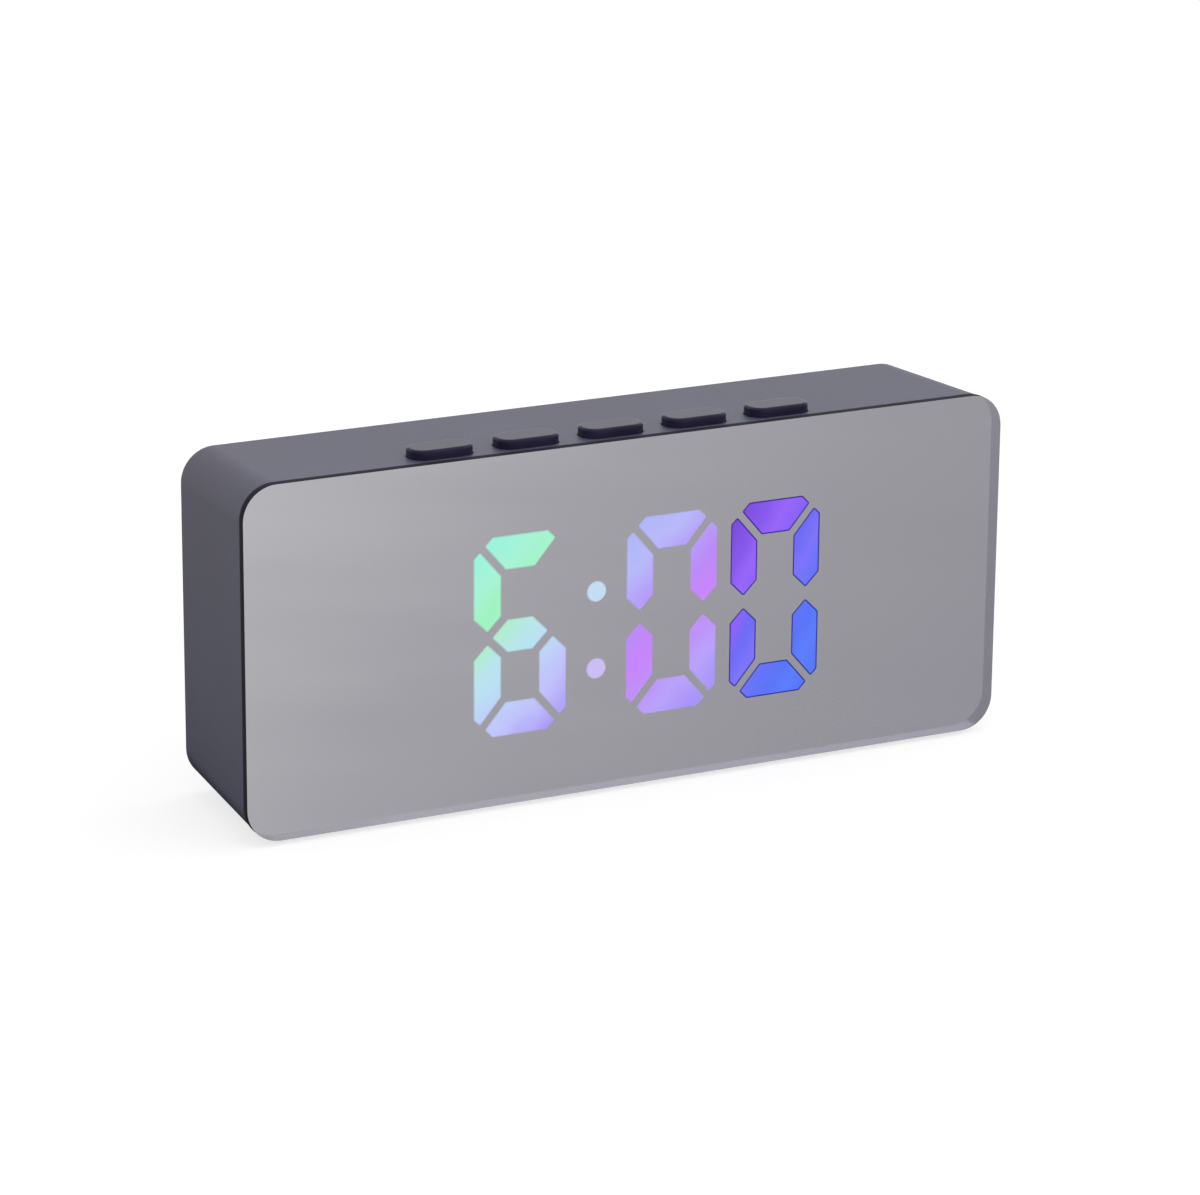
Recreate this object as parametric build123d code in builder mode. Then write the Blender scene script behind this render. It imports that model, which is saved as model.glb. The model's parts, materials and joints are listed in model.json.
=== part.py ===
from build123d import *
import math
import os

# A slim desk clock: a half-mirror front with large LED digits behind it, and five keys on top.
# Lengths are millimetres. X runs to the right as seen from the front, Y to the back and Z up.
# The origin is on the table, under the middle of the clock.

# Case: a bucket open at the front, whose four walls close in towards the back
case_width = 150.0
case_height = 64.6
case_depth = 32.5
case_corner = 6.3
draft_angle = 2.42  # degrees
wall = 2.0
back_wall = 2.0
rim_round = 0.3
back_round = 0.5
case_lift = 0.8  # from the table up to the lower front edge

# Mirror panel, which covers the whole front, and its adhesive ring
panel_thickness = 1.8
panel_bevel = 0.2
tape_thickness = 0.2
tape_width = 4.0
tape_margin = 0.4

# Digits, as their lit faces
display_x = -6.85  # the colon stands left of the middle
digit_top_inset = 15.15  # from the edge of the panel
digit_bottom_inset = 12.35
digit_pitch = 21.0
pair_pitch = 30.1  # from the last hour digit to the first minute digit
digit_width = 18.2
upright_stroke = 5.4
bar_stroke = 6.3
middle_stroke = 6.1
middle_length = 11.0
segment_gap = 1.3
point_gap = 2.2
corner_cut = 3.7
segment_corner = 0.4
colon_diameter = 3.9
colon_spacing = 14.4
colon_drop = 1.3
segment_depth = 2.7
segment_fit = 0.05

# Display block
mask_thickness = 0.2
light_box_margin = 1.8
light_box_depth = 5.7
led_length = 1.6
led_width = 0.8
led_height = 0.6
led_share = 0.36  # of a segment's length, between its two LEDs

# Inner frame
frame_thickness = 0.8
frame_gap = 0.15
collar_wall = 1.2
collar_gap = 0.1
post_inset = 6.5  # from the outside of the case to the middle of a post
post_diameter = 6.0
boss_diameter = 8.0
boss_length = 10.25
boss_floor = 2.5  # plastic left under a case screw's head

# Screws
case_shank_diameter = 2.5
case_shank_length = 12.0
case_head_diameter = 4.6
case_head_height = 1.8
case_screw_hole = 3.0
case_head_bore = 5.2
board_shank_diameter = 2.0
board_shank_length = 6.0
board_head_diameter = 3.8
board_head_height = 1.3
board_screw_hole = 2.3
board_boss_diameter = 5.0
pilot_fit = 0.02
pilot_spare = 0.1
recess_width = 0.6
recess_depth = 0.7
recess_length = 2.2

# Main board and what is soldered to its back
board_thickness = 1.6
board_ear = 8.0  # beyond the light box at each end
board_edge = 0.8  # beyond it above and below
board_hole_inset = 3.0
chip_x = -14.0
chip_z = 0.5
chip_length = 17.9
chip_width = 7.5
chip_height = 2.3
chip_leg_count = 14
chip_leg_pitch = 1.27
chip_leg_width = 0.42
chip_leg_reach = 1.4
chip_leg_thickness = 0.3
crystal_x = 3.0
crystal_z = 0.5
crystal_diameter = 3.0
crystal_length = 8.0
crystal_lead = 0.5
crystal_lead_length = 3.0
capacitor_x = 24.0
capacitor_z = -12.0
capacitor_diameter = 6.3
capacitor_height = 7.7
capacitor_base = 0.8
capacitor_round = 0.6
buzzer_x = 32.0
buzzer_z = 6.0
buzzer_diameter = 12.0
buzzer_height = 6.5
buzzer_hole = 2.2
buzzer_hole_depth = 1.5
buzzer_round = 0.5
sound_hole = 1.6
sound_ring = 6.0
sound_hole_count = 6

# Keys, measured along the slope of the top wall
key_names = ["mode_key", "alarm_key", "set_key", "plus_key", "minus_key"]
key_row_x = -2.0
key_row_inset = 6.49  # from the front of the panel
key_pitch = 16.67
key_length = 11.8
key_depth = 6.4
key_corner = 2.65
key_rise = 1.7
key_round = 0.5
key_wall = 1.2
key_gap = 0.15
ear_reach = 1.0
ear_depth = 4.0
ear_thickness = 1.0
ear_gap = 0.05
stem_diameter = 3.2
stem_reach = 1.3
stem_gap = 0.05
key_travel = 0.4

# Key switches and their board
switch_side = 6.0
switch_height = 3.4
switch_round = 0.4
plunger_diameter = 3.4
plunger_rise = 1.5
plunger_sunk = 1.4
plunger_fit = 0.05
plunger_spare = 0.2
key_board_lip = 0.05
key_board_depth = 11.0
key_board_end = 8.5
column_diameter = 4.0
column_back = 5.2  # from the key row to the row of columns
pin_diameter = 2.0
pin_fit = 0.1
stake_diameter = 3.2
stake_height = 0.8
ribbon_width = 8.0
ribbon_thickness = 0.6
ribbon_run = 3.0  # from the back of the main board
ribbon_drop = 7.5
ribbon_bend = 1.3

# Batteries, their tray and the door
battery_x = -14.0
cell_count = 3
cell_diameter = 10.5
cell_length = 44.5
cell_round = 0.5
nub_diameter = 3.8
nub_height = 1.0
cell_gap = 0.4
cell_clear = 0.2
door_clear = 0.4
tray_wall = 1.2
tray_floor = 1.2
tray_ear_length = 7.0
tray_ear_height = 8.0
tray_ear_thickness = 1.5
tray_boss_length = 6.0
contact_thickness = 0.4
contact_height = 8.0
contact_tail = 2.0
contact_reach = 1.5
contact_fit = 0.1
spring_height = 3.2
spring_wire = 0.5
spring_diameter = 6.0
spring_turns = 3.5
spring_fit = 0.02
door_thickness = 1.8
door_gap = 0.2
door_lap = 0.7
door_corner = 1.5
tab_width = 6.0
tab_thickness = 1.2
tab_drop = 1.8
tab_rise = 2.5
tab_gap = 0.2
tab_spread = 28.0
notch_gap = 0.4
notch_depth = 2.5
tongue_width = 14.0
tongue_length = 9.0
tongue_slot = 0.8
grip_count = 4
grip_pitch = 1.4
grip_width = 0.7
grip_height = 0.3
grip_length = 9.0

# Power inlet
usb_end_inset = 30.0  # from the right end of the case
usb_floor_inset = 15.3  # from the underside of the case
usb_board_length = 20.0
usb_board_height = 8.0
usb_board_thickness = 1.0
usb_boss_spread = 15.0
usb_shell_width = 7.5
usb_shell_height = 2.6
usb_shell_depth = 5.6
usb_shell_wall = 0.3
usb_shell_floor = 1.0
usb_tongue_width = 4.2
usb_tongue_height = 0.6
usb_round = 0.6
usb_slot_gap = 0.3
usb_recess_length = 11.5
usb_recess_height = 7.0
usb_recess_depth = 1.0
usb_recess_corner = 1.5

# Inner wiring
lead_diameter = 1.0
lead_bend = 0.9
battery_lead_run = 14.0
usb_lead_spread = 4.0
usb_lead_run = 6.0

# Rubber feet
foot_diameter = 8.0
foot_side_inset = 15.0  # from the outside of the case to the middle of a foot
foot_front_inset = 7.0
foot_rear_inset = 6.5
foot_sunk = 0.6
foot_fit = 0.1
foot_round = 0.3

# One overrun for every cut that leaves its piece
overrun = 1.0

# Places worked out from the sizes
draft = math.tan(math.radians(draft_angle))
front_y = -case_depth / 2
back_y = case_depth / 2
back_inner_y = back_y - back_wall
centre_z = case_lift + case_height / 2
panel_back_y = front_y + panel_thickness
rim_y = panel_back_y + tape_thickness
light_box_front_y = panel_back_y + mask_thickness
light_box_back_y = light_box_front_y + light_box_depth
board_back_y = light_box_back_y + board_thickness
segment_back_y = panel_back_y + segment_depth
frame_back_y = rim_y + frame_thickness
joint_y = back_inner_y - boss_length
foot_x = case_width / 2 - foot_side_inset
front_foot_y = front_y + foot_front_inset
rear_foot_y = back_y - foot_rear_inset
post_x = case_width / 2 - post_inset
post_z = case_height / 2 - post_inset
digit_height = case_height - digit_top_inset - digit_bottom_inset
display_z = (digit_bottom_inset - digit_top_inset) / 2  # from the middle height of the case
light_box_width = pair_pitch + 2 * digit_pitch + digit_width + 2 * light_box_margin
light_box_height = digit_height + 2 * light_box_margin
main_board_width = light_box_width + 2 * board_ear
main_board_height = light_box_height + 2 * board_edge
board_hole_x = main_board_width / 2 - board_hole_inset
board_hole_z = main_board_height / 2 - board_hole_inset
window_width = light_box_width + 2 * collar_gap
window_height = light_box_height + 2 * collar_gap
case_pilot = case_shank_diameter / 2 + pilot_fit
board_pilot = board_shank_diameter / 2 + pilot_fit

key_row_y = front_y + key_row_inset
switch_top = -(wall + ear_gap + ear_thickness + stem_reach + stem_gap + plunger_rise)
key_board_top = switch_top - switch_height
key_board_under = key_board_top - board_thickness
key_board_front = -switch_side / 2 - key_board_lip
key_board_width = (len(key_names) - 1) * key_pitch + 2 * key_board_end
key_places = [(i - (len(key_names) - 1) / 2) * key_pitch for i in range(len(key_names))]
column_places = [(left + right) / 2 for left, right in zip(key_places, key_places[1:])]

door_inner_y = back_y - door_thickness
cell_y = door_inner_y - door_clear - cell_diameter / 2
tray_floor_y = cell_y - cell_diameter / 2 - cell_clear
tray_front_y = tray_floor_y - tray_floor
bay_width = cell_length + spring_height + 2 * contact_thickness + 2 * spring_fit
bay_height = cell_count * cell_diameter + (cell_count + 1) * cell_gap
tray_width = bay_width + 2 * tray_wall
tray_height = bay_height + 2 * tray_wall
tray_boss_x = tray_width / 2 + tray_ear_length / 2
tray_ear_y = back_inner_y - tray_boss_length
door_width = bay_width + 2 * door_lap
door_height = bay_height + 2 * door_lap
cell_pitch = cell_diameter + cell_gap
cell_places = [((cell_count - 1) / 2 - i) * cell_pitch for i in range(cell_count)]

usb_x = case_width / 2 - usb_end_inset
usb_z = usb_floor_inset - case_height / 2
usb_board_y = back_inner_y - usb_shell_depth  # back face of the inlet's board

digit_places = {
    "hour_tens": display_x - pair_pitch / 2 - digit_pitch,
    "hour_units": display_x - pair_pitch / 2,
    "minute_tens": display_x + pair_pitch / 2,
    "minute_units": display_x + pair_pitch / 2 + digit_pitch,
}
colon_places = [
    (display_x, display_z - colon_drop + colon_spacing / 2),
    (display_x, display_z - colon_drop - colon_spacing / 2),
]


def facing_front(y):
    """Upright plane at depth y that faces the front, level with the middle of the case."""
    return Plane(origin=(0, y, centre_z), x_dir=(1, 0, 0), z_dir=(0, -1, 0))


def facing_back(y):
    """Upright plane at depth y that faces the back; its x runs the other way."""
    return Plane(origin=(0, y, centre_z), x_dir=(-1, 0, 0), z_dir=(0, 1, 0))


def half_width(y):
    """Half the outer width of the case at depth y."""
    return case_width / 2 - draft * (y - front_y)


def half_height(y):
    """Half the outer height of the case at depth y."""
    return case_height / 2 - draft * (y - front_y)


def along_top(depth):
    """Plane along the sloping top wall at the key row, depth above its outer face."""
    slope = math.radians(draft_angle)
    origin = (key_row_x, key_row_y, centre_z + half_height(key_row_y))
    return Plane(origin, x_dir=(1, 0, 0), z_dir=(0, math.sin(slope), math.cos(slope))).offset(depth)


def case_outline(y, inset):
    """Rounded outline of the case at depth y, drawn inset from its outer face."""
    width = 2 * (half_width(y) - inset)
    height = 2 * (half_height(y) - inset)
    RectangleRounded(width, height, case_corner - inset)


def segment_outlines():
    """The seven segments of a digit about its middle, from the top clockwise, the middle bar last."""
    outer_x = digit_width / 2
    outer_z = digit_height / 2
    inner_x = outer_x - upright_stroke
    inner_z = outer_z - bar_stroke
    slope = bar_stroke / upright_stroke
    shift = segment_gap / 2 * math.hypot(1, slope)
    corner = outer_x + outer_z - corner_cut
    mitre = inner_z - slope * inner_x
    bar_tip_x = (corner - mitre - shift) / (1 + slope)
    bar_tip_z = corner - bar_tip_x
    bar_end_x = bar_tip_x - (outer_z - bar_tip_z)
    bar_low_x = inner_x - shift / slope
    tip_x = (corner - mitre + shift) / (1 + slope)
    tip_z = corner - tip_x
    point_x = outer_x - upright_stroke / 2
    shoulder_z = (point_gap + upright_stroke) / 2
    middle_x = middle_length / 2
    middle_z = middle_stroke / 2
    top = [
        (-bar_end_x, outer_z),
        (bar_end_x, outer_z),
        (bar_tip_x, bar_tip_z),
        (bar_low_x, inner_z),
        (-bar_low_x, inner_z),
        (-bar_tip_x, bar_tip_z),
    ]
    upright = [
        (inner_x, inner_z - shift),
        (tip_x, tip_z),
        (outer_x, tip_z - (outer_x - tip_x)),
        (outer_x, shoulder_z),
        (point_x, point_gap / 2),
        (inner_x, shoulder_z),
    ]
    middle = [
        (-middle_x, 0),
        (middle_z - middle_x, middle_z),
        (middle_x - middle_z, middle_z),
        (middle_x, 0),
        (middle_x - middle_z, -middle_z),
        (middle_z - middle_x, -middle_z),
    ]

    def turned(outline, side_x, side_z):
        return [(side_x * x, side_z * z) for x, z in outline]

    return [
        top,
        upright,
        turned(upright, 1, -1),
        turned(top, 1, -1),
        turned(upright, -1, -1),
        turned(upright, -1, 1),
        middle,
    ]


def draw_digit(x):
    """The seven lit faces of the digit at x."""
    with Locations((x, display_z)):
        for outline in segment_outlines():
            Polygon(*outline)


def draw_display_cuts():
    """Every segment and colon dot, a little larger than the lit faces."""
    with BuildSketch(mode=Mode.PRIVATE) as faces:
        for x in digit_places.values():
            draw_digit(x)
        fillet(faces.vertices(), segment_corner)
        with Locations(*colon_places):
            Circle(colon_diameter / 2)
        offset(amount=segment_fit)
    add(faces.sketch, mode=Mode.SUBTRACT)


def add_screw(shank_diameter, shank_length, head_diameter, head_height):
    """A cross-head screw at each current place, its head on the side that the plane faces."""
    above = (Align.CENTER, Align.CENTER, Align.MIN)
    below = (Align.CENTER, Align.CENTER, Align.MAX)
    Cylinder(head_diameter / 2, head_height, align=above)
    Cylinder(shank_diameter / 2, shank_length, align=below)
    with Locations((0, 0, head_height)):
        Box(recess_length, recess_width, 2 * recess_depth, mode=Mode.SUBTRACT)
        Box(recess_width, recess_length, 2 * recess_depth, mode=Mode.SUBTRACT)


def add_lead(start, end, turn_y):
    """A wire that leaves start towards the front, crosses over at turn_y and runs on to end."""
    near = (start[0], turn_y, start[2])
    far = (end[0], turn_y, end[2])
    with BuildLine() as route:
        FilletPolyline(start, near, far, end, radius=lead_bend)
    with BuildSketch(Plane(start, x_dir=(1, 0, 0), z_dir=(0, -1, 0))) as section:
        Circle(lead_diameter / 2)
    sweep(sections=section.sketch, path=route.line)


os.makedirs("parts", exist_ok=True)

# Case shell: four drafted walls and the back in one moulding
with BuildPart() as case:
    for y in (rim_y, back_y):
        with BuildSketch(facing_front(y)):
            case_outline(y, 0)
    loft(ruled=True)
    fillet(case.faces().sort_by(Axis.Y)[0].edges(), rim_round)
    fillet(case.faces().sort_by(Axis.Y)[-1].edges(), back_round)
    for y in (rim_y - overrun, back_inner_y):
        with BuildSketch(facing_front(y)):
            case_outline(y, wall)
    loft(ruled=True, mode=Mode.SUBTRACT)
    # Corner bosses for the case screws
    with BuildSketch(facing_front(back_inner_y)):
        with GridLocations(2 * post_x, 2 * post_z, 2, 2):
            Circle(boss_diameter / 2)
    extrude(amount=boss_length)
    # Bosses for the battery tray and for the inlet's board
    with BuildSketch(facing_front(back_inner_y)):
        with Locations((battery_x - tray_boss_x, 0), (battery_x + tray_boss_x, 0)):
            Circle(board_boss_diameter / 2)
    extrude(amount=tray_boss_length)
    with BuildSketch(facing_front(back_inner_y)):
        with Locations((usb_x, usb_z)):
            with GridLocations(usb_boss_spread, 0, 2, 1):
                Circle(board_boss_diameter / 2)
    extrude(amount=usb_shell_depth)
    # Columns under the top wall, with pins melted over below the key board
    with BuildSketch(along_top(key_board_top)):
        with Locations(*[(x, column_back) for x in column_places]):
            Circle(column_diameter / 2)
    extrude(amount=-key_board_top - wall / 2)
    with BuildSketch(along_top(key_board_under)):
        with Locations(*[(x, column_back) for x in column_places]):
            Circle(pin_diameter / 2)
    extrude(amount=board_thickness)
    with BuildSketch(along_top(key_board_under)):
        with Locations(*[(x, column_back) for x in column_places]):
            Circle(stake_diameter / 2)
    extrude(amount=-stake_height)
    # Screw holes
    with Locations(facing_back(back_y)):
        with GridLocations(2 * post_x, 2 * post_z, 2, 2):
            CounterBoreHole(
                radius=case_screw_hole / 2,
                counter_bore_radius=case_head_bore / 2,
                counter_bore_depth=back_wall + boss_length - boss_floor,
                depth=back_wall + boss_length,
            )
    with Locations(facing_front(tray_ear_y)):
        with Locations((battery_x - tray_boss_x, 0), (battery_x + tray_boss_x, 0)):
            Hole(board_pilot, board_shank_length - tray_ear_thickness + pilot_spare)
    with Locations(facing_front(usb_board_y)):
        with Locations((usb_x, usb_z)):
            with GridLocations(usb_boss_spread, 0, 2, 1):
                Hole(board_pilot, board_shank_length - usb_board_thickness + pilot_spare)
    # Key openings in the top wall
    with BuildSketch(along_top(-wall - overrun)):
        with Locations(*[(x, 0) for x in key_places]):
            RectangleRounded(key_length + 2 * key_gap, key_depth + 2 * key_gap, key_corner + key_gap)
    extrude(amount=wall + 2 * overrun, mode=Mode.SUBTRACT)
    # Battery opening
    with BuildSketch(facing_back(back_y)):
        with Locations((-battery_x, 0)):
            RectangleRounded(door_width + 2 * door_gap, door_height + 2 * door_gap, door_corner + door_gap)
    extrude(amount=-back_wall, mode=Mode.SUBTRACT)
    # Inlet slot with a shallow recess for the plug
    with BuildSketch(facing_back(back_y)):
        with Locations((-usb_x, usb_z)):
            RectangleRounded(
                usb_shell_width + 2 * usb_slot_gap,
                usb_shell_height + 2 * usb_slot_gap,
                usb_round + usb_slot_gap,
            )
    extrude(amount=-back_wall, mode=Mode.SUBTRACT)
    with BuildSketch(facing_back(back_y)):
        with Locations((-usb_x, usb_z)):
            RectangleRounded(usb_recess_length, usb_recess_height, usb_recess_corner)
    extrude(amount=-usb_recess_depth, mode=Mode.SUBTRACT)
    # Sound holes behind the buzzer
    with Locations(facing_back(back_y)):
        with Locations((-buzzer_x, buzzer_z)):
            Hole(sound_hole / 2, back_wall)
            with PolarLocations(sound_ring / 2, sound_hole_count):
                Hole(sound_hole / 2, back_wall)
    # Pockets for the rubber feet
    for y in (front_foot_y, rear_foot_y):
        with BuildSketch(Plane.XY.offset(centre_z - half_height(y) + foot_sunk)):
            with Locations((-foot_x, y), (foot_x, y)):
                Circle(foot_diameter / 2 + foot_fit)
        extrude(amount=-foot_sunk - overrun, mode=Mode.SUBTRACT)
case.part.label = "case"
export_step(case.part, "parts/case.step")

# Half-mirror front panel with a polished bevel
with BuildPart() as front_panel:
    with BuildSketch(facing_front(panel_back_y)):
        case_outline(front_y, 0)
    extrude(amount=panel_thickness)
    chamfer(front_panel.faces().sort_by(Axis.Y)[0].edges(), panel_bevel)
front_panel.part.label = "front_panel"
export_step(front_panel.part, "parts/front_panel.step")

# Adhesive ring between the panel, the front edge of the case and the inner frame
with BuildPart() as panel_tape:
    with BuildSketch(facing_front(rim_y)):
        case_outline(front_y, tape_margin)
        edge = tape_margin + tape_width
        Rectangle(case_width - 2 * edge, case_height - 2 * edge, mode=Mode.SUBTRACT)
    extrude(amount=tape_thickness)
panel_tape.part.label = "panel_tape"
export_step(panel_tape.part, "parts/panel_tape.step")

# Black film with the digit cut-outs
with BuildPart() as segment_mask:
    with BuildSketch(facing_front(light_box_front_y)):
        with Locations((display_x, display_z)):
            Rectangle(light_box_width, light_box_height)
        draw_display_cuts()
    extrude(amount=mask_thickness)
segment_mask.part.label = "segment_mask"
export_step(segment_mask.part, "parts/segment_mask.step")

# White reflector block with a well behind each segment
with BuildPart() as light_box:
    with BuildSketch(facing_front(light_box_back_y)):
        with Locations((display_x, display_z)):
            Rectangle(light_box_width, light_box_height)
        draw_display_cuts()
    extrude(amount=light_box_depth)
light_box.part.label = "light_box"
export_step(light_box.part, "parts/light_box.step")

# Clear segment blocks of each digit
for name, x in digit_places.items():
    with BuildPart() as digit:
        with BuildSketch(facing_front(segment_back_y)) as face:
            draw_digit(x)
            fillet(face.vertices(), segment_corner)
        extrude(amount=segment_depth)
    digit.part.label = f"{name}_segments"
    export_step(digit.part, f"parts/{name}_segments.step")

# The two dots of the colon
with BuildPart() as colon_dots:
    with BuildSketch(facing_front(segment_back_y)):
        with Locations(*colon_places):
            Circle(colon_diameter / 2)
    extrude(amount=segment_depth)
colon_dots.part.label = "colon_dots"
export_step(colon_dots.part, "parts/colon_dots.step")

# LEDs on the main board: two in each segment's well, one behind each dot
with BuildPart() as display_leds:
    with BuildSketch(facing_front(light_box_back_y)):
        with Locations(*colon_places):
            Rectangle(led_length, led_width)
        for x in digit_places.values():
            for outline in segment_outlines():
                across = [point[0] for point in outline]
                up = [point[1] for point in outline]
                middle = ((min(across) + max(across)) / 2 + x, (min(up) + max(up)) / 2 + display_z)
                length = max(across) - min(across)
                height = max(up) - min(up)
                with Locations(middle):
                    if length > height:
                        with GridLocations(led_share * length, 0, 2, 1):
                            Rectangle(led_length, led_width)
                    else:
                        with GridLocations(0, led_share * height, 1, 2):
                            Rectangle(led_width, led_length)
    extrude(amount=led_height)
display_leds.part.label = "display_leds"
export_step(display_leds.part, "parts/display_leds.step")

# Inner frame: plate behind the mirror, collar around the display, bosses and long posts
with BuildPart() as display_frame:
    with BuildSketch(facing_front(frame_back_y)):
        case_outline(frame_back_y, wall + frame_gap)
        with Locations((display_x, display_z)):
            Rectangle(window_width, window_height, mode=Mode.SUBTRACT)
    extrude(amount=frame_thickness)
    with BuildSketch(facing_front(light_box_back_y)):
        with Locations((display_x, display_z)):
            Rectangle(window_width + 2 * collar_wall, window_height + 2 * collar_wall)
            Rectangle(window_width, window_height, mode=Mode.SUBTRACT)
            with GridLocations(2 * board_hole_x, 2 * board_hole_z, 2, 2):
                Circle(board_boss_diameter / 2)
    extrude(amount=light_box_back_y - frame_back_y)
    with BuildSketch(facing_front(joint_y)):
        with GridLocations(2 * post_x, 2 * post_z, 2, 2):
            Circle(post_diameter / 2)
    extrude(amount=joint_y - frame_back_y)
    with Locations(facing_back(joint_y)):
        with GridLocations(2 * post_x, 2 * post_z, 2, 2):
            Hole(case_pilot, case_shank_length - boss_floor + pilot_spare)
    with Locations(facing_back(light_box_back_y)):
        with Locations((-display_x, display_z)):
            with GridLocations(2 * board_hole_x, 2 * board_hole_z, 2, 2):
                Hole(board_pilot, board_shank_length - board_thickness + pilot_spare)
display_frame.part.label = "display_frame"
export_step(display_frame.part, "parts/display_frame.step")

# Main board, screwed to the inner frame behind the light box
with BuildPart() as main_board:
    with BuildSketch(facing_front(board_back_y)):
        with Locations((display_x, display_z)):
            Rectangle(main_board_width, main_board_height)
            with GridLocations(2 * board_hole_x, 2 * board_hole_z, 2, 2):
                Circle(board_screw_hole / 2, mode=Mode.SUBTRACT)
    extrude(amount=board_thickness)
main_board.part.label = "main_board"
export_step(main_board.part, "parts/main_board.step")

# Controller: a flat package with two rows of legs
with BuildPart() as controller_chip:
    with BuildSketch(facing_back(board_back_y)):
        with Locations((-chip_x, chip_z)):
            with GridLocations(chip_leg_pitch, 0, chip_leg_count, 1):
                Rectangle(chip_leg_width, chip_width + 2 * chip_leg_reach)
    extrude(amount=chip_leg_thickness)
    with BuildSketch(facing_back(board_back_y)):
        with Locations((-chip_x, chip_z)):
            Rectangle(chip_length, chip_width)
    extrude(amount=chip_height)
controller_chip.part.label = "controller_chip"
export_step(controller_chip.part, "parts/controller_chip.step")

# Quartz crystal: a small can lying on the board, with its two leads
with BuildPart() as clock_crystal:
    crystal_end = Plane(
        (crystal_x, board_back_y + crystal_diameter / 2, centre_z + crystal_z),
        x_dir=(0, 1, 0),
        z_dir=(1, 0, 0),
    )
    with BuildSketch(crystal_end):
        Circle(crystal_diameter / 2)
    extrude(amount=crystal_length)
    with BuildSketch(crystal_end):
        with GridLocations(0, crystal_diameter / 2, 1, 2):
            Circle(crystal_lead / 2)
    extrude(amount=-crystal_lead_length)
clock_crystal.part.label = "clock_crystal"
export_step(clock_crystal.part, "parts/clock_crystal.step")

# Electrolytic capacitor of the supply
with BuildPart() as power_capacitor:
    with BuildSketch(facing_back(board_back_y)):
        with Locations((-capacitor_x, capacitor_z)):
            Rectangle(capacitor_diameter, capacitor_diameter)
    extrude(amount=capacitor_base)
    with BuildSketch(facing_back(board_back_y)):
        with Locations((-capacitor_x, capacitor_z)):
            Circle(capacitor_diameter / 2)
    extrude(amount=capacitor_height)
    fillet(power_capacitor.faces().sort_by(Axis.Y)[-1].edges(), capacitor_round)
power_capacitor.part.label = "power_capacitor"
export_step(power_capacitor.part, "parts/power_capacitor.step")

# Alarm buzzer
with BuildPart() as buzzer:
    with BuildSketch(facing_back(board_back_y)):
        with Locations((-buzzer_x, buzzer_z)):
            Circle(buzzer_diameter / 2)
    extrude(amount=buzzer_height)
    fillet(buzzer.faces().sort_by(Axis.Y)[-1].edges(), buzzer_round)
    with Locations(facing_back(board_back_y + buzzer_height)):
        with Locations((-buzzer_x, buzzer_z)):
            Hole(buzzer_hole / 2, buzzer_hole_depth)
buzzer.part.label = "buzzer"
export_step(buzzer.part, "parts/buzzer.step")

# Key board under the top wall
with BuildPart() as key_board:
    with BuildSketch(along_top(key_board_under)):
        with Locations((0, key_board_front + key_board_depth / 2)):
            Rectangle(key_board_width, key_board_depth)
        with Locations(*[(x, column_back) for x in column_places]):
            Circle(pin_diameter / 2 + pin_fit, mode=Mode.SUBTRACT)
    extrude(amount=board_thickness)
key_board.part.label = "key_board"
export_step(key_board.part, "parts/key_board.step")

# Bodies of the five tact switches
with BuildPart() as key_switches:
    with BuildSketch(along_top(key_board_top)):
        with Locations(*[(x, 0) for x in key_places]):
            RectangleRounded(switch_side, switch_side, switch_round)
    extrude(amount=switch_height)
    with Locations(along_top(switch_top)):
        with Locations(*[(x, 0) for x in key_places]):
            Hole(plunger_diameter / 2 + plunger_fit, plunger_sunk + key_travel + plunger_spare)
key_switches.part.label = "key_switches"
export_step(key_switches.part, "parts/key_switches.step")

# Key caps and the plungers under them
for name, x in zip(key_names, key_places):
    with BuildPart() as key_cap:
        ear_bottom = -wall - ear_gap - ear_thickness
        with BuildSketch(along_top(ear_bottom)):
            with Locations((x, 0)):
                RectangleRounded(key_length, key_depth, key_corner)
        extrude(amount=key_rise - ear_bottom)
        fillet(key_cap.faces().sort_by(Axis.Z)[-1].edges(), key_round)
        with BuildSketch(along_top(ear_bottom)):
            with Locations((x, 0)):
                Rectangle(key_length + 2 * ear_reach, ear_depth)
        extrude(amount=ear_thickness)
        inner_length = key_length - 2 * key_wall
        inner_depth = key_depth - 2 * key_wall
        with BuildSketch(along_top(ear_bottom)):
            with Locations((x, 0)):
                RectangleRounded(inner_length, inner_depth, key_corner - key_wall)
        extrude(amount=key_rise - key_wall - ear_bottom, mode=Mode.SUBTRACT)
        with BuildSketch(along_top(ear_bottom - stem_reach)):
            with Locations((x, 0)):
                Circle(stem_diameter / 2)
        extrude(amount=key_rise - key_wall / 2 - ear_bottom + stem_reach)
    key_cap.part.label = name
    export_step(key_cap.part, f"parts/{name}.step")
    with BuildPart() as plunger:
        with BuildSketch(along_top(switch_top - plunger_sunk)):
            with Locations((x, 0)):
                Circle(plunger_diameter / 2)
        extrude(amount=plunger_sunk + plunger_rise)
    plunger.part.label = f"{name}_plunger"
    export_step(plunger.part, f"parts/{name}_plunger.step")

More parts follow.
